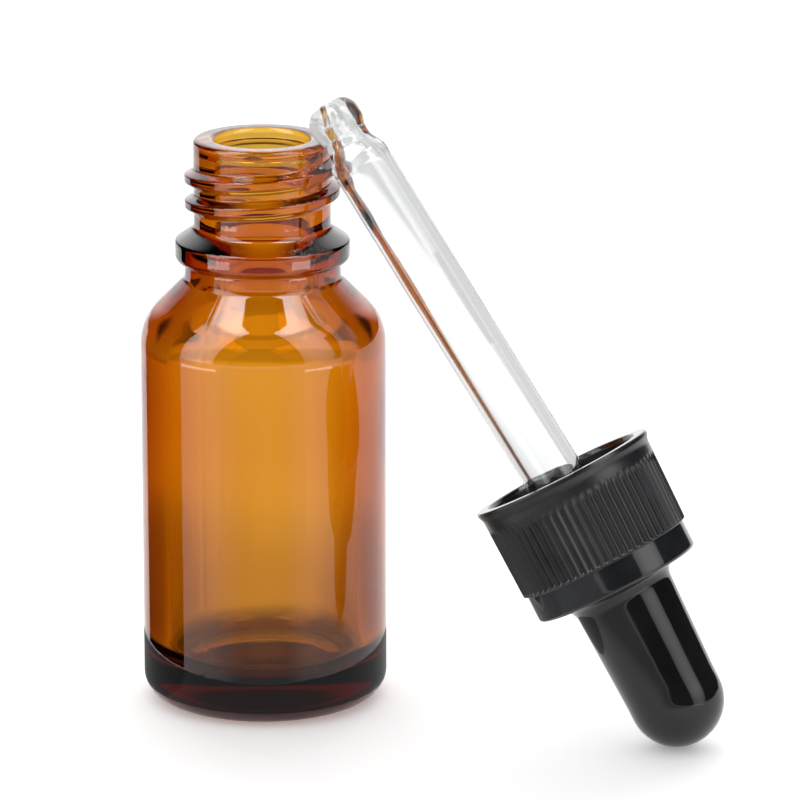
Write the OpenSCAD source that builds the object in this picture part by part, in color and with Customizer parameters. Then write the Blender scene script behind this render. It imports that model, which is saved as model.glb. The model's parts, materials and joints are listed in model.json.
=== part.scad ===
// Round dropper bottle with a GL 18 screw finish, open, and its teat dropper.
// All sizes are millimetres. The origin is the centre of the bottle's base on the
// floor, with +Z up. The dropper stands on its rubber bulb at +X and leans in the
// XZ plane, with the notch behind the pipette's ball tip on the rim of the mouth.

/* [Bottle] */
// Outside diameter of the glass body
body_d = 28.6; // [28:0.1:31]
// Height from the floor to the lip
bottle_h = 66.9; // [66.5:0.1:67]
// Thickness of the glass wall
body_wall = 2.2; // [1.6:0.1:2.6]
// Thickness of the glass floor
floor_t = 5; // [3:0.1:6]
// Radius of the rounded shoulder
shoulder_r = 6.5; // [5.5:0.1:7]
// Height of the rounded heel
heel_h = 2.9; // [2:0.1:4]
// Width of the rounded heel, seen from below
heel_w = 3.4; // [2:0.1:4]

/* [Neck finish] */
// Diameter of the mouth
mouth_d = 11; // [10:0.1:11.4]
// Diameter of the neck between the thread's ridges
neck_d = 15.9; // [15.6:0.1:16]
// Diameter over the thread's crests
thread_d = 18; // [17.6:0.1:18]
// Rise of the thread in one turn
thread_pitch = 3; // [2.8:0.1:3.2]
// Diameter of the bead that the cap stops above
bead_d = 20.3; // [19.6:0.1:21]
// Diameter of the collar under the bead
collar_d = 18.2; // [17:0.1:19]
// Height of the bead's rounded edge, below the slope up to the neck
bead_h = 2.8; // [2.6:0.1:3]

/* [Screw cap] */
// Diameter over the grip ribs
skirt_d = 20.9; // [20.7:0.1:21.4]
// Length of the skirt below the step
skirt_h = 11.1; // [10:0.1:11.4]
// Diameter of the smooth step above the skirt
step_d = 19.8; // [19:0.1:20.2]
// Height of the smooth step
step_h = 3.3; // [3.2:0.1:4]
// Diameter of the small flared lip at the open rim
rim_d = 21.6; // [21.4:0.1:22]
// Number of grip ribs
rib_count = 64; // [48:2:72]

/* [Rubber bulb] */
// Diameter of the bulb at its closed end
bulb_end_d = 11; // [10.6:0.1:11.4]
// Diameter of the bulb where its flare begins
bulb_base_d = 11.9; // [11.8:0.1:12.2]
// Length of the bulb outside the cap
bulb_h = 20.4; // [19:0.1:22]
// Thickness of the rubber wall
bulb_wall = 1.4; // [1.2:0.1:1.5]

/* [Pipette] */
// Outside diameter of the glass tube
tube_d = 7; // [6.8:0.05:7.05]
// Thickness of the tube's wall
tube_wall = 1; // [0.8:0.1:1.3]
// Length from the tip to the cap's step
tube_reach = 60.9; // [60.5:0.1:61.5]
// Length of tube held in the bulb's sleeve
tube_grip = 8; // [6:0.1:9]

/* [Leaning dropper] */
// Lean of the cap and bulb from upright
cap_lean = 29.4; // [28.5:0.1:29.4]
// Extra lean of the pipette, which the soft sleeve allows
pipette_bend = 5.2; // [4.8:0.1:5.2]
// Distance from the bottle's axis to the bulb's end
foot_x = 51.5; // [51.5:0.1:53]

/* [Hidden] */
$fn = 96;

// Bottle, measured up from the floor
body_r = body_d / 2;
shoulder_z = bottle_h - 24.3;
shoulder_turn = 45;
shoulder_drop = 0.9;
collar_r = collar_d / 2;
bead_r = bead_d / 2;
bead_top = bottle_h - 11.7;
bead_round = 0.5;
bead_slope = 55;
neck_r = neck_d / 2;
neck_fillet = 1;
mouth_r = mouth_d / 2;
lip_round = 0.55;
floor_round = 3;
inner_r = body_r - body_wall;
inner_shoulder_r = shoulder_r - body_wall;
inner_shoulder_z = shoulder_z - shoulder_drop;

// Screw thread: angles are turned from +X, and the crest is at thread_z there
thread_z = bottle_h - 6.3;
thread_start = -247;
thread_end = 420;
thread_fade = 35;
thread_step = 11.5;
thread_root_w = 2.5;
thread_crest_w = 0.8;
thread_bury = 0.4;

// Dropper, measured along its own axis from the bulb's closed end to the tip
bulb_end_r = bulb_end_d / 2;
step_z = bulb_h;
skirt_z = step_z + step_h;
rim_z = skirt_z + skirt_h;
cap_wall = 1.5;
cap_bore_r = 9.15;
cap_hole_r = 6.2;
cap_recess_r = 8.05;
rib_depth = 0.2;
rib_w = 0.55;
rim_band = 2;
rim_lip = 0.6;
step_round = 0.5;
cap_thread_r = 8.25;
cap_thread_sweep = 480;
cap_thread_z = skirt_z + 3;
run_gap = 0.05;
flange_r = cap_recess_r - 0.15;
flange_h = step_h - cap_wall - 0.1;
flare_r = 1.9;
sleeve_r = tube_d / 2 + run_gap;
sleeve_z = skirt_z - tube_grip - 0.5;
sleeve_end_gap = 1.5;

// Pipette, measured along the tube from its tip
tube_r = tube_d / 2;
tube_bore_r = tube_r - tube_wall;
ball_r = 3.08;
ball_z = 2;
notch_r = 2.66;
notch_z = [3.9, 5.5];
tube_z = 7.3;
orifice_r = 0.6;
tip_flat_r = 1.5;
tip_bore_z = [1.2, 8];

// Points on an arc about [x, y] with radii rx and ry, from angle a to angle b
function arc(x, y, rx, ry, a, b, n = 8) =
    [for (i = [0:n]) let (t = a + (b - a) * i / n) [x + rx * cos(t), y + ry * sin(t)]];

// Points of a smooth S from p to q, with both ends along the second axis
function ease(p, q, n = 8) =
    [for (i = [0:n]) let (t = i / n)
        [p[0] + (q[0] - p[0]) * (1 - cos(180 * t)) / 2, p[1] + (q[1] - p[1]) * t]];

// How far a thread's crest has risen at an angle, 0 at its ends and 1 between them
function faded(angle, from, to) =
    min(1, (angle - from) / thread_fade, (to - angle) / thread_fade);

// One cross-section of a thread as [radius, height], with its root buried in its wall
function thread_section(wall_r, crest_r, rise) =
    let (side = sign(crest_r - wall_r), low_r = wall_r - side * thread_bury / 4,
        tip_r = low_r + (crest_r - low_r) * rise)
    [[wall_r - side * thread_bury, -thread_root_w / 2], [tip_r, -thread_crest_w / 2],
     [tip_r, thread_crest_w / 2], [wall_r - side * thread_bury, thread_root_w / 2]];

// A right-handed thread ridge swept about the axis, with its crest at z where angle is 0
module thread_ridge(wall_r, crest_r, z, from, to) {
    steps = ceil((to - from) / thread_step);
    sides = 4;
    points = [for (i = [0:steps])
        let (angle = from + (to - from) * i / steps)
        for (p = thread_section(wall_r, crest_r, faded(angle, from, to)))
            [p[0] * cos(angle), p[0] * sin(angle), z + thread_pitch * angle / 360 + p[1]]];
    walls = [for (i = [0:steps - 1], k = [0:sides - 1])
        let (a = i * sides + k, b = i * sides + (k + 1) % sides)
        each [[a, a + sides, b + sides], [a, b + sides, b]]];
    ends = [[for (k = [0:sides - 1]) k], [for (k = [sides - 1:-1:0]) steps * sides + k]];
    faces = concat(walls, ends);
    polyhedron(points = points, convexity = 6,
        faces = crest_r < wall_r ? faces : [for (f = faces) [for (k = [len(f) - 1:-1:0]) f[k]]]);
}

// Outside of the glass, from the floor up to the lip, as [radius, height]
function bottle_outside() = concat(
    [[0, 0]],
    arc(body_r - heel_w, heel_h, heel_w, heel_h, -90, 0),
    arc(body_r - shoulder_r, shoulder_z, shoulder_r, shoulder_r, 0, shoulder_turn),
    [[collar_r, shoulder_z + shoulder_r * sin(shoulder_turn)
        + body_r - shoulder_r * (1 - cos(shoulder_turn)) - collar_r]],
    [[collar_r, bead_top - bead_h]],
    arc(bead_r - bead_round, bead_top - bead_h + bead_round, bead_round, bead_round, -60, 0, 5),
    arc(bead_r - bead_round, bead_top - bead_round, bead_round, bead_round, 0, bead_slope, 6),
    arc(neck_r + neck_fillet, neck_fillet_z(), neck_fillet, neck_fillet, 180 + bead_slope, 180, 6),
    arc(neck_r - lip_round, bottle_h - lip_round, lip_round, lip_round, 0, 90, 6));

// Height of the hollow arc's centre where the bead's slope runs straight into it
function neck_fillet_z() =
    bead_top - bead_round + (bead_round + neck_fillet) * sin(bead_slope)
    + (bead_r - neck_r - (bead_round + neck_fillet) * (1 - cos(bead_slope))) / tan(bead_slope);

// Inside of the glass, from the lip down to the middle of its floor
function bottle_inside() = concat(
    arc(mouth_r + lip_round, bottle_h - lip_round, lip_round, lip_round, 90, 180, 6),
    [[mouth_r, inner_shoulder_z + inner_r - inner_shoulder_r * (1 - cos(shoulder_turn))
        + inner_shoulder_r * sin(shoulder_turn) - mouth_r]],
    arc(inner_r - inner_shoulder_r, inner_shoulder_z, inner_shoulder_r, inner_shoulder_r,
        shoulder_turn, 0),
    arc(inner_r - floor_round, floor_t + floor_round, floor_round, floor_round, 0, -90),
    [[0, floor_t]]);

module glass_bottle() {
    color([0.72, 0.36, 0.08])
    union() {
        rotate_extrude() polygon(concat(bottle_outside(), bottle_inside()));
        thread_ridge(neck_r, thread_d / 2, thread_z, thread_start, thread_end);
    }
}

// Stands the dropper on its bulb and leans it towards the bottle
module lean_dropper() {
    translate([foot_x, 0, bulb_end_r])
        rotate([0, -cap_lean, 0])
            translate([0, 0, -bulb_end_r]) children();
}

// Bends the pipette's axis away from the cap's axis where the step meets the skirt
module bend_pipette() {
    lean_dropper()
        translate([0, 0, skirt_z])
            rotate([0, -pipette_bend, 0]) children();
}

// Outline of the ribbed grip, seen along the cap's axis
module rib_outline() {
    root_r = skirt_d / 2 - rib_depth;
    circle(r = root_r);
    for (i = [0:rib_count - 1])
        rotate(i * 360 / rib_count)
            translate([root_r - rib_depth, -rib_w / 2]) square([2 * rib_depth, rib_w]);
}

module screw_cap() {
    color([0.16, 0.16, 0.17])
    lean_dropper() {
        difference() {
            union() {
                rotate_extrude() polygon(concat(
                    [[0, step_z]],
                    arc(step_d / 2 - step_round, step_z + step_round, step_round, step_round,
                        -90, 0, 4),
                    [[step_d / 2, skirt_z + 0.2], [0, skirt_z + 0.2]]));
                translate([0, 0, skirt_z])
                    linear_extrude(skirt_h - rim_band) rib_outline();
                translate([0, 0, skirt_z + 0.1])
                    cylinder(h = skirt_h - rim_lip, r = skirt_d / 2 - rib_depth / 2);
                translate([0, 0, rim_z - rim_lip]) cylinder(h = rim_lip, d = rim_d);
            }
            translate([0, 0, step_z - 1]) cylinder(h = cap_wall + 2, r = cap_hole_r);
            translate([0, 0, step_z + cap_wall]) cylinder(h = step_h, r = cap_recess_r);
            translate([0, 0, skirt_z]) cylinder(h = skirt_h + 1, r = cap_bore_r);
        }
        thread_ridge(cap_bore_r, cap_thread_r, cap_thread_z, 0, cap_thread_sweep);
    }
}

// Outside of the rubber from its closed end to the flange inside the cap
function bulb_outside() = concat(
    arc(0, bulb_end_r, bulb_end_r, bulb_end_r, -90, 0, 10),
    [[bulb_base_d / 2, step_z - flare_r - run_gap]],
    arc(bulb_base_d / 2 + flare_r, step_z - flare_r - run_gap, flare_r, flare_r, 180, 90, 6),
    [[cap_hole_r - run_gap, step_z - run_gap],
     [cap_hole_r - run_gap, step_z + cap_wall + run_gap],
     [flange_r, step_z + cap_wall + run_gap],
     [flange_r, step_z + cap_wall + run_gap + flange_h],
     [0, step_z + cap_wall + run_gap + flange_h]]);

module rubber_bulb() {
    hollow_r = bulb_end_r - bulb_wall;
    hollow_base_r = bulb_base_d / 2 - bulb_wall;
    color([0.1, 0.1, 0.11])
    difference() {
        lean_dropper() rotate_extrude() polygon(bulb_outside());
        lean_dropper() rotate_extrude() polygon(concat(
            arc(0, bulb_end_r, hollow_r, hollow_r, -90, 0, 10),
            [[hollow_base_r, sleeve_z], [0, sleeve_z]]));
        bend_pipette()
            translate([0, 0, -tube_grip - sleeve_end_gap])
                cylinder(h = tube_grip + sleeve_end_gap + step_h, r = sleeve_r);
    }
}

module glass_pipette() {
    tube_end = tube_reach + tube_grip;
    end_round = 0.3;
    color([0.85, 0.88, 0.88])
    bend_pipette()
        translate([0, 0, tube_reach]) mirror([0, 0, 1]) rotate_extrude() polygon(concat(
            arc(tip_flat_r, ball_z, ball_r - tip_flat_r, ball_z, -90, 0, 7),
            ease([ball_r, ball_z], [notch_r, notch_z[0]], 5),
            ease([notch_r, notch_z[1]], [tube_r, tube_z], 6),
            arc(tube_r - end_round, tube_end - end_round, end_round, end_round, 0, 90, 3),
            [[tube_bore_r, tube_end]],
            ease([tube_bore_r, tip_bore_z[1]], [orifice_r, tip_bore_z[0]], 7),
            [[orifice_r, 0]]));
}

glass_bottle();
screw_cap();
rubber_bulb();
glass_pipette();
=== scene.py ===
"""Amber dropper bottle with its dropper leaning on the mouth. Metres, in the CAD frame.

Each piece is turned about its own axis, from an outline of (radius, height) in millimetres."""
import json
import math

import bpy
import numpy as np
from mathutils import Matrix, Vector


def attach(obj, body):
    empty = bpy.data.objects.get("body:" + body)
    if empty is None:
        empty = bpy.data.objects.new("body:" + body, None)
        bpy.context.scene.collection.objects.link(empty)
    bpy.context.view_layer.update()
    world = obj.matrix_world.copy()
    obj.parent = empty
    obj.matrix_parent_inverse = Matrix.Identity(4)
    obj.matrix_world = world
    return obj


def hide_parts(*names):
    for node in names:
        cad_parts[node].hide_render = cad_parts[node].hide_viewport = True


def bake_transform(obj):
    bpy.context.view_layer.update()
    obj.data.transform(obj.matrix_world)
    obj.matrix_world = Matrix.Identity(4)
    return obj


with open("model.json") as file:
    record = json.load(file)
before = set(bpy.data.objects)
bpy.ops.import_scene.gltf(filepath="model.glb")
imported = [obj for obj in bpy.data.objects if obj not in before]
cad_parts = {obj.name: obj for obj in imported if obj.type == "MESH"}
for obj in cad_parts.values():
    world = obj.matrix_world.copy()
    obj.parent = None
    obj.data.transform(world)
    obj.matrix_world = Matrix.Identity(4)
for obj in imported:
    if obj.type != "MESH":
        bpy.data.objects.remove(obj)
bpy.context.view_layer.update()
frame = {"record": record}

MM = 0.001
ON_AXIS = 1e-6          # a radius below this is a point on the axis
JOINTS = {j["name"]: j for j in frame["record"]["behaviour"]["joints"]}

# ---------------------------------------------------------------- places

SKIRT_Z = 23.7          # bulb's end to the top of the cap's skirt, where the pipette's axis crosses
TUBE_REACH = 60.9       # pipette's tip to that crossing


class Axes:
    """A right-handed frame in millimetres whose third axis is a piece's axis of revolution."""

    def __init__(self, origin, axis):
        z = Vector(axis).normalized()
        y = Vector((0.0, 1.0, 0.0))
        self.origin = np.array(origin)
        self.matrix = np.array([y.cross(z).normalized(), y, z])

    def place(self, points):
        return self.origin + MM * points @ self.matrix


cap_axis = Vector(JOINTS["cap_turn"]["axis"]).normalized()
crossing = Vector(JOINTS["cap_turn"]["pos_m"])
tube_axis = Vector(JOINTS["dropper_lift_away"]["axis"]).normalized().cross(Vector((0.0, 1.0, 0.0)))
UPRIGHT = Axes((0.0, 0.0, 0.0), (0.0, 0.0, 1.0))
DROPPER = Axes(crossing - SKIRT_Z * MM * cap_axis, cap_axis)
TUBE = Axes(crossing + TUBE_REACH * MM * tube_axis, -tube_axis)

# ---------------------------------------------------------------- turned shapes


def spaced(points, step):
    """The same outline with a point every step along its straight stretches."""
    spaced_points = [points[0]]
    for end in points[1:]:
        start = spaced_points[-1]
        gap = np.linalg.norm(end - start)
        if gap < 1e-4:
            continue
        for i in range(1, int(gap / step) + 1):
            if i * step < gap - 0.2 * step:
                spaced_points.append(start + (end - start) * i * step / gap)
        spaced_points.append(end)
    return np.array(spaced_points)


def rounded(corners, step=0.6, turn=8.0):
    """Outline through corners (radius, height, fillet), each corner cut by a round fillet.
    Straight stretches get a point every step, and fillets one every turn degrees."""
    outline = [np.array(corners[0][:2], float)]
    for before, corner, after in zip(corners, corners[1:], corners[2:]):
        here = np.array(corner[:2], float)
        back = np.array(before[:2], float) - here
        ahead = np.array(after[:2], float) - here
        back /= np.linalg.norm(back)
        ahead /= np.linalg.norm(ahead)
        half = math.acos(max(-1.0, min(1.0, float(back @ ahead)))) / 2
        if corner[2] <= 0 or half > math.radians(89.5):
            outline.append(here)
            continue
        radius = corner[2]
        tangent = radius / math.tan(half)
        middle = (back + ahead) / np.linalg.norm(back + ahead)
        centre = here + middle * radius / math.sin(half)
        first = here + back * tangent - centre
        last = here + ahead * tangent - centre
        sweep = math.atan2(first[0] * last[1] - first[1] * last[0], float(first @ last))
        count = max(2, int(abs(math.degrees(sweep)) / turn) + 1)
        for i in range(count + 1):
            c, s = math.cos(sweep * i / count), math.sin(sweep * i / count)
            outline.append(centre + np.array([c * first[0] - s * first[1], s * first[0] + c * first[1]]))
    outline.append(np.array(corners[-1][:2], float))
    return spaced(outline, step)


def refined(outline, low, high, step):
    """The outline with a point every step on its upright stretch between two heights."""
    first, last = np.flatnonzero((outline[:, 1] > low) & (outline[:, 1] < high))[[0, -1]]
    heights = np.arange(outline[first, 1], outline[last, 1], step)
    upright = np.column_stack([np.full_like(heights, outline[first, 0]), heights])
    return np.vstack([outline[:first], upright, outline[last:]])


def grid_mesh(name, rings, axes, loop):
    """Mesh from rings of points (row, around, xyz) in an Axes frame. A ring of zero radius is
    drawn as one point. loop joins the last ring to the first."""
    rows, around = rings.shape[:2]
    verts, index = [], []
    for ring in rings:
        if np.hypot(ring[:, 0], ring[:, 1]).max() < ON_AXIS:
            index.append([len(verts)] * around)
            verts.append(ring[0])
        else:
            index.append(list(range(len(verts), len(verts) + around)))
            verts.extend(ring)
    faces = []
    for r in range(rows if loop else rows - 1):
        low, high = index[r], index[(r + 1) % rows]
        for k in range(around):
            n = (k + 1) % around
            corners = [low[k], low[n], high[n], high[k]]
            faces.append(list(dict.fromkeys(corners)))
    mesh = bpy.data.meshes.new(name)
    mesh.from_pydata(axes.place(np.array(verts)).tolist(), [], faces)
    mesh.validate()
    mesh.polygons.foreach_set("use_smooth", [True] * len(mesh.polygons))
    obj = bpy.data.objects.new(name, mesh)
    bpy.context.scene.collection.objects.link(obj)
    return obj


def turned(name, outline, axes, around=256, loop=False, shape=None):
    """Revolves an outline of (radius, height). shape(angle, radius, height) may change the radius."""
    angle = np.linspace(0.0, 2 * math.pi, around, endpoint=False)[None, :]
    radius = np.repeat(outline[:, :1], around, axis=1)
    height = np.repeat(outline[:, 1:], around, axis=1)
    if shape:
        radius = np.where(radius > ON_AXIS, shape(angle, radius, height), 0.0)
    rings = np.stack([radius * np.cos(angle), radius * np.sin(angle), height], axis=2)
    return grid_mesh(name, rings, axes, loop)


def fade(value, start, end):
    """0 at start and 1 at end, with a smooth S between."""
    t = np.clip((value - start) / (end - start), 0.0, 1.0)
    return t * t * (3 - 2 * t)


def ridge(distance, half_width):
    """A rounded ridge of height 1, that ends at half_width."""
    t = np.clip(np.abs(distance) / half_width, 0.0, 1.0)
    return (1 - t * t) ** 2 * (1 + 0.6 * t * t)


THREAD_PITCH = 3.0
RUN_OUT = 40            # degrees over which a thread rises out of its wall
CREST_SHARE = 0.28      # share of a thread's half width that has its full height


def helix(angle, height, crest, start, end, half_width):
    """Height, 0 to 1, of a right-handed thread from start to end degrees. Its crest is at crest
    where the angle is 0."""
    total = np.zeros(np.broadcast(angle, height).shape)
    degrees = np.degrees(angle)
    for turn in range(math.floor(start / 360), math.ceil(end / 360) + 1):
        along = degrees + 360 * turn
        strength = fade(along, start, start + RUN_OUT) * fade(-along, -end, RUN_OUT - end)
        away = np.abs(height - crest - THREAD_PITCH * along / 360)
        total = np.maximum(total, strength * (1 - fade(away, CREST_SHARE * half_width, half_width)))
    return total


# ---------------------------------------------------------------- materials


def material(name):
    mat = bpy.data.materials.new(name)
    mat.use_nodes = True
    tree = mat.node_tree
    return mat, tree, tree.nodes["Principled BSDF"]


def noise(tree, scale, detail=3.0, stretch=(1.0, 1.0, 1.0)):
    """Noise in object space: scale is in cells a metre, stretched along each axis."""
    coords = tree.nodes.new("ShaderNodeTexCoord")
    mapping = tree.nodes.new("ShaderNodeMapping")
    mapping.inputs["Scale"].default_value = stretch
    texture = tree.nodes.new("ShaderNodeTexNoise")
    texture.inputs["Scale"].default_value = scale
    texture.inputs["Detail"].default_value = detail
    tree.links.new(coords.outputs["Object"], mapping.inputs["Vector"])
    tree.links.new(mapping.outputs["Vector"], texture.inputs["Vector"])
    return texture.outputs["Fac"]


def ramp(tree, source, low, high, start=0.3, end=0.7):
    """Spreads source between two values or two colours."""
    node = tree.nodes.new("ShaderNodeMapRange" if isinstance(low, float) else "ShaderNodeValToRGB")
    if isinstance(low, float):
        node.inputs["From Min"].default_value = start
        node.inputs["From Max"].default_value = end
        node.inputs["To Min"].default_value = low
        node.inputs["To Max"].default_value = high
        tree.links.new(source, node.inputs["Value"])
        return node.outputs["Result"]
    node.color_ramp.elements[0].position = start
    node.color_ramp.elements[0].color = (*low, 1.0)
    node.color_ramp.elements[1].position = end
    node.color_ramp.elements[1].color = (*high, 1.0)
    tree.links.new(source, node.inputs["Fac"])
    return node.outputs["Color"]


def bump(tree, shader, layers):
    """Stacks bumps of (height source, depth in metres) on a shader."""
    normal = None
    for source, depth in layers:
        node = tree.nodes.new("ShaderNodeBump")
        node.inputs["Distance"].default_value = depth
        tree.links.new(source, node.inputs["Height"])
        if normal:
            tree.links.new(normal, node.inputs["Normal"])
        normal = node.outputs["Normal"]
    tree.links.new(normal, shader.inputs["Normal"])


def glass(name, clear, density, ior, wave, haze):
    """Solid glass that absorbs by the length of the light's way through it: each colour fades at
    density * (1 - clear) per metre. wave is the depth of its ripples in metres, and haze its
    least roughness. Where haze is 0, rays through the glass are what Blender calls singular, and
    the studio's floor and walls tell the clear glass from the amber by that."""
    mat, tree, shader = material(name)
    shader.inputs["Base Color"].default_value = (1.0, 1.0, 1.0, 1.0)
    shader.inputs["Transmission Weight"].default_value = 1.0
    shader.inputs["IOR"].default_value = ior
    tree.links.new(ramp(tree, noise(tree, 90.0), haze, 2.4 * haze), shader.inputs["Roughness"])
    bump(tree, shader, [(noise(tree, 160.0, 2.0, (1.0, 1.0, 0.35)), wave),
                        (noise(tree, 900.0, 2.0), wave / 12)])
    absorb = tree.nodes.new("ShaderNodeVolumeAbsorption")
    absorb.inputs["Color"].default_value = (*clear, 1.0)
    absorb.inputs["Density"].default_value = density
    tree.links.new(absorb.outputs["Volume"], tree.nodes["Material Output"].inputs["Volume"])
    return mat


def black_plastic(name, rough_low, rough_high, grain):
    """Near-black plastic with a moulded grain, whose depth is in metres."""
    mat, tree, shader = material(name)
    shader.inputs["IOR"].default_value = 1.49
    cloud = noise(tree, 240.0, 4.0)
    tree.links.new(ramp(tree, cloud, (0.010, 0.0105, 0.012), (0.017, 0.018, 0.020)),
                   shader.inputs["Base Color"])
    tree.links.new(ramp(tree, cloud, rough_low, rough_high), shader.inputs["Roughness"])
    bump(tree, shader, [(noise(tree, 9000.0, 2.0), grain), (noise(tree, 500.0, 2.0), grain / 2)])
    return mat


def black_rubber(name):
    mat, tree, shader = material(name)
    shader.inputs["IOR"].default_value = 1.52
    shader.inputs["Specular IOR Level"].default_value = 0.4
    cloud = noise(tree, 130.0, 4.0)
    tree.links.new(ramp(tree, cloud, (0.006, 0.006, 0.007), (0.010, 0.010, 0.011)),
                   shader.inputs["Base Color"])
    tree.links.new(ramp(tree, cloud, 0.06, 0.11), shader.inputs["Roughness"])
    bump(tree, shader, [(noise(tree, 2500.0, 3.0), 0.0000015), (noise(tree, 220.0, 2.0), 0.00002)])
    return mat


AMBER = glass("amber_glass", clear=(0.900, 0.705, 0.00), density=1100.0, ior=1.52, wave=0.00002, haze=0.006)
CLEAR = glass("clear_glass", clear=(0.42, 0.46, 0.45), density=120.0, ior=1.50, wave=0.000001, haze=0.0)
CLEAR.node_tree.nodes["Principled BSDF"].inputs["Specular IOR Level"].default_value = 0.25   # half as glossy
RIBBED = black_plastic("ribbed_plastic", rough_low=0.26, rough_high=0.36, grain=0.000004)
SMOOTH = black_plastic("smooth_plastic", rough_low=0.06, rough_high=0.11, grain=0.0000008)
RUBBER = black_rubber("black_rubber")

# ---------------------------------------------------------------- bottle

BOTTLE_H = 66.9
BODY_R = 14.3
INNER_R = 12.1
COLLAR_R = 9.1
BEAD_R = 10.15
NECK_R = 7.95
MOUTH_R = 5.5
LIP_R = 7.0             # where the outer and inner outlines meet on the lip
LEDGE_R = 4.95          # slight ledge inside the mouth

THREAD_RISE = 1.05
THREAD_CREST_Z = 60.6
THREAD_START, THREAD_END = -247, 420
THREAD_HALF_WIDTH = 1.2

SEAM_ANGLE = math.radians(-95.4)
SEAM_RISE = 0.035
SEAM_HALF_WIDTH = 0.25
THIN_SIDE = math.radians(-67.4)     # the wall is thinnest here and opposite
THICK_SIDE_EXTRA = 0.5              # how much thicker it is a quarter turn away

outside = refined(rounded([
    (0.0, 0.55, 0), (8.6, 0.45, 1.5), (9.9, 0.0, 1.2),
    (BODY_R, 0.0, 3.0), (BODY_R, 45.3, 6.5),
    (COLLAR_R, 50.5, 0.9), (COLLAR_R - 0.05, 52.4, 0.3),
    (BEAD_R, 52.55, 0.85), (BEAD_R, 54.96, 0.5),
    (NECK_R, 56.5, 1.0), (NECK_R, BOTTLE_H, 0.55), (LIP_R, BOTTLE_H, 0)], step=0.5),
    low=57.3, high=66.0, step=0.07)
inside = rounded([
    (LIP_R, BOTTLE_H, 0), (MOUTH_R, BOTTLE_H, 0.6),
    (MOUTH_R, 65.7, 0.05), (LEDGE_R, 65.62, 0.08), (LEDGE_R, 65.3, 0.1), (MOUTH_R, 64.9, 0.1),
    (MOUTH_R, 50.08, 5.0), (INNER_R, 43.48, 4.3), (INNER_R, 5.0, 3.0), (0.0, 5.25, 0)], step=0.5)


def bottle_outer(angle, radius, height):
    """Adds the thread, and the two mould seams on opposite sides."""
    thread = helix(angle, height, THREAD_CREST_Z, THREAD_START, THREAD_END, THREAD_HALF_WIDTH)
    from_seam = np.angle(np.exp(2j * (angle - SEAM_ANGLE))) / 2
    seam = ridge(from_seam * radius, SEAM_HALF_WIDTH)
    return (radius + THREAD_RISE * thread * fade(height, 57.2, 57.7)
            + SEAM_RISE * seam * fade(height, 0.3, 2.0))


def bottle_inner(angle, radius, height):
    """Makes the body's wall uneven, as blown glass is, and leaves the neck and the floor round."""
    thick = THICK_SIDE_EXTRA * (1 - np.cos(2 * (angle - THIN_SIDE))) / 2
    uneven = (0.06 * np.sin(3 * angle - 0.13 * height) - thick
              + 0.05 * np.sin(0.35 * height + 1.3 * np.sin(angle)))
    return radius + uneven * fade(radius, 6.0, 11.0) * fade(height, 4.5, 9.0)


def bottle_shape(angle, radius, height):
    row = np.arange(len(radius))[:, None]
    return np.where(row < len(outside), bottle_outer(angle, radius, height),
                    bottle_inner(angle, radius, height))


bottle = turned("bottle_glass", np.vstack([outside, inside[1:]]), UPRIGHT, 320, shape=bottle_shape)
bottle.data.materials.append(AMBER)
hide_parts("glass_bottle")
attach(bottle, "bottle")

# ---------------------------------------------------------------- pipette

TUBE_R = 3.5
TUBE_END = 68.9
TUBE_BORE_R = 2.5
BALL_R = 3.08
NOTCH_R = 2.66
ORIFICE_R = 0.6

tube_outline = rounded([
    (ORIFICE_R, 0.0, 0), (BALL_R, 0.0, 2.0), (BALL_R, 3.2, 1.6),
    (NOTCH_R, 4.3, 1.2), (NOTCH_R, 5.5, 1.0),
    (TUBE_R, 7.1, 1.4), (TUBE_R, TUBE_END, 0.35), (2.9, TUBE_END, 0.25),
    (TUBE_BORE_R, 68.0, 1.0), (TUBE_BORE_R, 8.2, 3.0),
    (1.35, 5.2, 1.2), (1.2, 2.6, 1.0), (ORIFICE_R, 1.2, 0.6), (ORIFICE_R, 0.0, 0)], step=1.0)[:-1]
tube = turned("pipette_glass", tube_outline, TUBE, 256, loop=True)
tube.data.materials.append(CLEAR)
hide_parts("glass_pipette")
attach(tube, "pipette")

# ---------------------------------------------------------------- cap

RIBS = 64
RIB_DEPTH = 0.30
RIB_LOW, RIB_HIGH = 23.95, 32.4
RIB_FADE = 0.9          # the grooves die away over this height at the rim
RIM_Z = 34.5            # the flared lip above this is smooth
STEP_R = 9.9
LIP_OUT_R = 10.78
CAP_BORE_R = 9.15
RECESS_R = 8.05
CAP_HOLE_R = 6.2
CAP_THREAD_RISE = 0.85
CAP_THREAD_CREST_Z = 26.7
CAP_THREAD_START, CAP_THREAD_END = 0, 480
CAP_THREAD_HALF_WIDTH = 0.95

cap_outline = rounded([
    (6.9, 20.4, 0), (STEP_R, 20.4, 0.45), (STEP_R, 23.75, 0.12), (10.3, 23.8, 0.15), (10.5, 33.6, 1.5),
    (LIP_OUT_R, 34.3, 0.3), (LIP_OUT_R, 34.8, 0.16), (9.35, 34.8, 0.2),
    (CAP_BORE_R, 34.3, 0.3), (CAP_BORE_R, 23.75, 0.25),
    (RECESS_R, 23.7, 0.12), (RECESS_R, 21.9, 0.12),
    (CAP_HOLE_R, 21.9, 0.12), (CAP_HOLE_R, 20.4, 0.15), (6.9, 20.4, 0)], step=0.3)[:-1]


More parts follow.
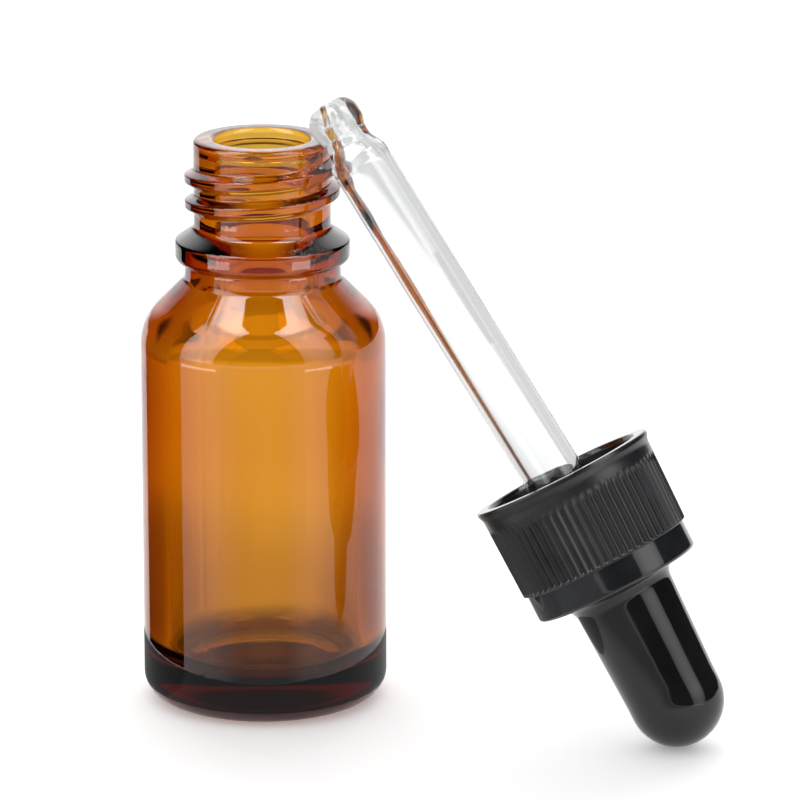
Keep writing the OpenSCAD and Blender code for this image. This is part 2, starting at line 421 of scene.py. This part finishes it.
def cap_shape(angle, radius, height):
    """Cuts the grip's grooves into the skirt, and adds the thread inside it."""
    wave = 0.5 + 0.5 * np.cos(RIBS * angle)
    groove = ((1 - wave ** 1.5) * fade(height, RIB_LOW - 0.1, RIB_LOW)
              * fade(-height, -RIB_HIGH, RIB_FADE - RIB_HIGH))
    thread = helix(angle, height, CAP_THREAD_CREST_Z, CAP_THREAD_START, CAP_THREAD_END,
                   CAP_THREAD_HALF_WIDTH)
    on_skirt = radius > 10.2
    in_bore = np.abs(radius - CAP_BORE_R) < 0.05
    return (radius - np.where(on_skirt, RIB_DEPTH * groove, 0.0)
            - np.where(in_bore, CAP_THREAD_RISE * thread, 0.0))


cap = turned("cap_plastic", cap_outline, DROPPER, RIBS * 12, loop=True, shape=cap_shape)
cap.data.materials.append(RIBBED)
cap.data.materials.append(SMOOTH)
centres = np.array([p.center for p in cap.data.polygons])
along_cap = (centres - DROPPER.origin) @ DROPPER.matrix[2] / MM
cap.data.polygons.foreach_set("material_index", ((along_cap < SKIRT_Z) | (along_cap > RIM_Z)).astype(int))
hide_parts("screw_cap")
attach(cap, "cap")

# ---------------------------------------------------------------- bulb

BULB_R = 5.49           # a hair under the CAD's, whose facets lie inside its round
FLARE_R = 8.0
GROOVE_R = 6.15
FLANGE_R = 7.9
SLEEVE_R = 3.55

bulb_outline = rounded([
    (0.0, 0.0, 0), (BULB_R, 0.0, BULB_R - 0.001), (BULB_R, 7.0, 30.0), (5.95, 20.33, 1.9),
    (FLARE_R, 20.39, 0), (FLARE_R, 20.395, 0), (GROOVE_R, 20.395, 0.08), (GROOVE_R, 21.95, 0.08),
    (FLANGE_R, 21.95, 0.15), (FLANGE_R, 23.55, 0.25), (3.6, 23.55, 0.3), (SLEEVE_R, 15.6, 0.4),
    (4.5, 15.2, 0.4), (4.1, 1.4, 4.0), (0.0, 1.4, 0)], step=0.5)
bulb = turned("bulb_rubber", bulb_outline, DROPPER, 192)
bulb.data.materials.append(RUBBER)
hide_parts("rubber_bulb")
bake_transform(bulb)

# ---------------------------------------------------------------- camera

CAMERA_AZIMUTH = math.radians(22.6)
CAMERA_RISE = math.radians(15.23)
CAMERA_DISTANCE = 0.601
AIM = Vector((0.01468, 0.00611, 0.0356))


def studio_point(azimuth, rise, distance):
    """A point round the object. Azimuth 0 is the camera's side and 90 is the camera's right."""
    a = math.radians(azimuth) + CAMERA_AZIMUTH
    e = math.radians(rise)
    return AIM + distance * Vector((math.sin(a) * math.cos(e), -math.cos(a) * math.cos(e), math.sin(e)))


camera = bpy.data.objects.new("camera", bpy.data.cameras.new("camera"))
camera.data.lens = 231.8
camera.data.sensor_width = 36.0
camera.data.clip_end = 20.0
camera.location = studio_point(0.0, math.degrees(CAMERA_RISE), CAMERA_DISTANCE)
camera.rotation_euler = (camera.location - AIM).to_track_quat("Z", "Y").to_euler()
bpy.context.scene.collection.objects.link(camera)
bpy.context.scene.camera = camera

# ---------------------------------------------------------------- node helpers


def maths(tree, operation, a, b=0.0):
    node = tree.nodes.new("ShaderNodeMath")
    node.operation = operation
    for socket, value in zip(node.inputs, (a, b)):
        if isinstance(value, (int, float)):
            socket.default_value = value
        else:
            tree.links.new(value, socket)
    return node.outputs["Value"]


def product(tree, first, *others):
    for other in others:
        first = maths(tree, "MULTIPLY", first, other)
    return first


def smooth_range(tree, source, start, end, low, high):
    """low before start and high after end, with a smooth S between."""
    node = tree.nodes.new("ShaderNodeMapRange")
    node.interpolation_type = "SMOOTHSTEP"
    tree.links.new(source, node.inputs["Value"])
    for socket, value in (("From Min", start), ("From Max", end), ("To Min", low), ("To Max", high)):
        node.inputs[socket].default_value = value
    return node.outputs["Result"]


def coordinates(tree, output="Object"):
    split = tree.nodes.new("ShaderNodeSeparateXYZ")
    tree.links.new(tree.nodes.new("ShaderNodeTexCoord").outputs[output], split.inputs["Vector"])
    return split.outputs["X"], split.outputs["Y"], split.outputs["Z"]


def glow(name):
    """An emission material, and the emission node whose strength is still to be given."""
    mat, tree, shader = material(name)
    tree.nodes.remove(shader)
    emission = tree.nodes.new("ShaderNodeEmission")
    tree.links.new(emission.outputs["Emission"], tree.nodes["Material Output"].inputs["Surface"])
    return mat, tree, emission


def steady_glow(name, strength):
    mat, _, emission = glow(name)
    emission.inputs["Strength"].default_value = strength
    return mat


# ---------------------------------------------------------------- studio cards

CARD_Z = 0.0003         # cards on the floor lie just above it
HOT_BAND = 5.0          # strength added along a softbox's top


def flat_mesh(name, points, faces, mat):
    mesh = bpy.data.meshes.new(name)
    mesh.from_pydata([tuple(p) for p in points], [], faces)
    mesh.materials.append(mat)
    obj = bpy.data.objects.new(name, mesh)
    bpy.context.scene.collection.objects.link(obj)
    return obj


def only_in_reflections(obj, in_glass=False):
    """Hides a card from the camera and from the floor's own light. in_glass leaves it in view of
    the light that comes through glass."""
    obj.visible_camera = False
    obj.visible_diffuse = False
    obj.visible_shadow = False
    obj.visible_transmission = in_glass


def softbox(name, azimuth, rise, distance, half_width, half_height, low, high):
    """A panel facing the object, of strength low below and high above, with a hot band along its
    top. half_width and half_height are shares of its distance."""
    w, h = half_width * distance, half_height * distance
    mat, tree, emission = glow(name)
    x, y, _ = coordinates(tree)
    across = smooth_range(tree, maths(tree, "ABSOLUTE", x), 0.25 * w, 1.1 * w, 1.0, 0.6)
    along = smooth_range(tree, y, -0.6 * h, 0.2 * h, low, high)
    hot = smooth_range(tree, y, 0.60 * h, 0.75 * h, 0.0, HOT_BAND)
    tree.links.new(product(tree, across, maths(tree, "ADD", along, hot)), emission.inputs["Strength"])
    obj = flat_mesh(name, [(-w, -h, 0), (w, -h, 0), (w, h, 0), (-w, h, 0)], [(0, 1, 2, 3)], mat)
    obj.location = studio_point(azimuth, rise, distance)
    obj.rotation_euler = (obj.location - AIM).to_track_quat("Z", "Y").to_euler()
    only_in_reflections(obj, in_glass=True)


def arc_card(name, start, end, edges, mat, count=16):
    """A card between two edges of (radius, height) round the bottle's axis, from start to end
    degrees as studio_point's azimuth. Only reflections see it."""
    turns = np.radians(np.linspace(start, end, count)) + CAMERA_AZIMUTH
    points = [(r * math.sin(a), -r * math.cos(a), z) for a in turns for r, z in edges]
    faces = [(2 * i, 2 * i + 1, 2 * i + 3, 2 * i + 2) for i in range(count - 1)]
    only_in_reflections(flat_mesh(name, points, faces, mat))


def painted_floor_reflection_material():
    """A painted reflection of the floor in front, glowing on a card that only reflections see: half bright
    straight below the camera and full at the card's sides.
    """
    mat, tree, emission = glow("painted_floor_reflection")
    x, y, _ = coordinates(tree)
    aside = maths(tree, "SUBTRACT", maths(tree, "ARCTAN2", y, x), CAMERA_AZIMUTH - math.pi / 2)
    tree.links.new(smooth_range(tree, maths(tree, "ABSOLUTE", aside), 0.25, 0.65, 0.5, 1.0),
                   emission.inputs["Strength"])
    return mat


def on_floor(inner, outer):
    return (inner, CARD_Z), (outer, CARD_Z)


softbox("softbox_left", -64, 31, 0.75, 0.36, 0.84, low=3.5, high=4.8)
softbox("softbox_right", 55, 31, 0.75, 0.32, 0.84, low=1.7, high=3.8)

# Upright black cards give the glass its dark outlines.
for name, start, end, radius, low, high in (("black_card_left", -63.5, -115.0, 0.030, 0.0005, 0.064),
                                            ("black_card_right", 58.0, 110.0, 0.034, 0.049, 0.064)):
    arc_card(name, start, end, ((radius, low), (radius, high)), steady_glow(name, 0.01), count=24)

# The body's wall reflects the floor in front of it, and the base the floor at its foot. Both are painted
# darker on glowing cards that only reflections see: a painted reflection of the floor in front, and a ring
# of painted contact shade round the foot, darkest towards the left, so that the amber shows.
# Painted reflection: a glowing card that only reflections see stands for the floor in front, dimmer than the
# white floor.
arc_card("painted_floor_reflection", -38.0, 38.0, on_floor(0.030, 0.35), painted_floor_reflection_material())
# Painted contact shade: two glowing rings round the foot, seen only in reflections.
for name, start, end, strength in (("painted_foot_shade", -62.0, 150.0, 0.35), ("painted_foot_shade_deep", -150.0, -62.0, 0.22)):
    arc_card(name, start, end, on_floor(0.0146, 0.030), steady_glow(name, strength))

# Two bright strips stand for low windows: the bead's upright edge reflects them.
low_window = steady_glow("low_window", 5.0)
for name, start, end in (("low_window_left", -78.0, -42.0), ("low_window_right", 39.0, 66.0)):
    arc_card(name, start, end, on_floor(0.195, 0.25), low_window)

# ---------------------------------------------------------------- floor and walls

# Rays that come through the amber glass see a brightness of their own on the floor and the walls: it falls
# off in the four gaps between bright panels, and near the bottle. On the floor this is painted shade: the
# bottle's own shadow, dark at its foot, softer further out and in the gaps near it, with a painted warm
# amber tint in the gaps. Rays that leave the clear glass are singular, and never see less than an even pale
# grey.
FLOOR_Z = -0.0001               # just under the glass, whose foot would flicker against it
FLOOR_THROUGH_GLASS = 1.22
WALLS_THROUGH_GLASS = 1.15
THROUGH_CLEAR_GLASS = 0.76
# Painted warm shade: the tint that the floor shows through the amber glass in the gaps.
AMBER_SHADE_TINT = (0.90, 0.76, 0.66)
WALLS_REFLECTED = 1.8
WALLS_DIFFUSE = 0.82            # what lights the floor, and the plastic and rubber
DARK_PATCH = 0.88               # how much is taken off the wall low behind the bottle
WHITE = (1.0, 1.0, 1.0)

backdrop_way = (AIM - studio_point(0.0, 0.0, 1.0)).normalized()
BACKDROP_TURN = math.atan2(backdrop_way.y, backdrop_way.x)


def panels(tree, x, y):
    """1 towards the backdrop and each quarter turn from it, -1 halfway between."""
    turn = maths(tree, "SUBTRACT", maths(tree, "ARCTAN2", y, x), BACKDROP_TURN)
    return maths(tree, "COSINE", product(tree, 4.0, turn))


def paper_through_glass(tree, rays):
    """The emission that a ray sees on the floor after it has come through glass. It carries painted light
    and shade: the bottle's shadow, dark at its foot and softer out to 10 cm and in the gaps near it, a
    painted warm tint in the gaps, and painted light that dims past 25 cm.
    """
    x, y, _ = coordinates(tree)
    reach = maths(tree, "SQRT", maths(tree, "ADD", product(tree, x, x), product(tree, y, y)))
    gap = smooth_range(tree, panels(tree, x, y), -1.0, 1.0, 1.0, 0.0)
    # Painted shadow of the bottle in the four gaps near it; past 13 cm the gaps are not darkened.
    gap_shadow_depth = smooth_range(tree, reach, 0.06, 0.13, 0.40, 0.0)
    gap_shadow_factor = maths(tree, "SUBTRACT", 1.0, product(tree, gap, gap_shadow_depth))
    # Painted shadow of the bottle: dark round its foot, then a wider soft shade, then painted light that
    # dims far out.
    painted_foot_shadow = smooth_range(tree, reach, 0.010, 0.036, 0.10, 1.0)
    past_shade = smooth_range(tree, reach, 0.030, 0.100, 0.72, 1.0)
    far_off = smooth_range(tree, reach, 0.25, 0.30, 1.0, 0.68)
    lit = product(tree, painted_foot_shadow, past_shade, far_off, gap_shadow_factor)
    singular = rays.outputs["Is Singular Ray"]
    # Painted warm tint in the gaps, for rays through the amber glass only.
    warm_shade_share = product(tree, gap, maths(tree, "SUBTRACT", 1.0, singular))
    emission = tree.nodes.new("ShaderNodeEmission")
    tree.links.new(maths(tree, "MAXIMUM", product(tree, lit, FLOOR_THROUGH_GLASS),
                         product(tree, singular, THROUGH_CLEAR_GLASS)), emission.inputs["Strength"])
    tree.links.new(ramp(tree, warm_shade_share, WHITE, AMBER_SHADE_TINT, 0.0, 1.0), emission.inputs["Color"])
    return emission.outputs["Emission"]


def white_paper():
    mat, tree, shader = material("white_paper")
    shader.inputs["Roughness"].default_value = 0.9
    shader.inputs["Specular IOR Level"].default_value = 0.1
    shader.inputs["Emission Color"].default_value = (*WHITE, 1.0)
    shader.inputs["Emission Strength"].default_value = 0.25
    tree.links.new(ramp(tree, noise(tree, 60.0), (0.912, 0.912, 0.912), (0.922, 0.922, 0.922)),
                   shader.inputs["Base Color"])
    rays = tree.nodes.new("ShaderNodeLightPath")
    either = tree.nodes.new("ShaderNodeMixShader")
    tree.links.new(rays.outputs["Is Transmission Ray"], either.inputs["Fac"])
    tree.links.new(shader.outputs["BSDF"], either.inputs[1])
    tree.links.new(paper_through_glass(tree, rays), either.inputs[2])
    tree.links.new(either.outputs["Shader"], tree.nodes["Material Output"].inputs["Surface"])
    return mat


def walls_through_glass(tree, rays, x, y, z, towards):
    """The strength that a ray sees on the walls after it has come through glass. The dark patch
    is what the base and the ledge in the mouth show."""
    at_backdrop = smooth_range(tree, towards, 0.80, 0.90, 0.0, DARK_PATCH)
    above_floor = smooth_range(tree, z, 0.13, 0.21, 0.0, 1.0)
    below_top = smooth_range(tree, z, 0.50, 0.60, 1.0, 0.0)
    outside_patch = maths(tree, "SUBTRACT", 1.0, product(tree, at_backdrop, above_floor, below_top))
    at_panels = smooth_range(tree, panels(tree, x, y), -0.7, 0.7, 0.75, 1.0)
    by_height = smooth_range(tree, z, 0.45, 0.85, WALLS_THROUGH_GLASS, 0.85)
    amber = product(tree, at_panels, by_height, outside_patch)
    return maths(tree, "MAXIMUM", amber, product(tree, rays.outputs["Is Singular Ray"], THROUGH_CLEAR_GLASS))


def white_walls():
    """A world that is plain white to the camera. Reflections see it bright only behind the
    bottle, so that the front is left to the softboxes. A diffuse ray counts as a reflection ray
    too, so the floor is lit by both."""
    world = bpy.data.worlds.new("studio")
    world.use_nodes = True
    tree = world.node_tree
    rays = tree.nodes.new("ShaderNodeLightPath")
    x, y, z = coordinates(tree, "Generated")
    towards = maths(tree, "ADD", product(tree, x, backdrop_way.x), product(tree, y, backdrop_way.y))
    behind = maths(tree, "ADD", towards, product(tree, z, 0.6))
    reflected = smooth_range(tree, behind, 0.85, 1.05, 0.02, WALLS_REFLECTED)
    through = walls_through_glass(tree, rays, x, y, z, towards)
    seen = maths(tree, "MAXIMUM", product(tree, rays.outputs["Is Reflection Ray"], reflected),
                 product(tree, rays.outputs["Is Transmission Ray"], through))
    plain = maths(tree, "MAXIMUM", product(tree, rays.outputs["Is Diffuse Ray"], WALLS_DIFFUSE),
                  rays.outputs["Is Camera Ray"])
    strength = maths(tree, "ADD", seen, plain)
    background = tree.nodes["Background"]
    background.inputs["Color"].default_value = (*WHITE, 1.0)
    tree.links.new(strength, background.inputs["Strength"])
    return world


flat_mesh("floor", [(-3, -3, FLOOR_Z), (3, -3, FLOOR_Z), (3, 3, FLOOR_Z), (-3, 3, FLOOR_Z)],
          [(0, 1, 2, 3)], white_paper())
bpy.context.scene.world = white_walls()
bpy.context.scene.view_settings.view_transform = "Standard"
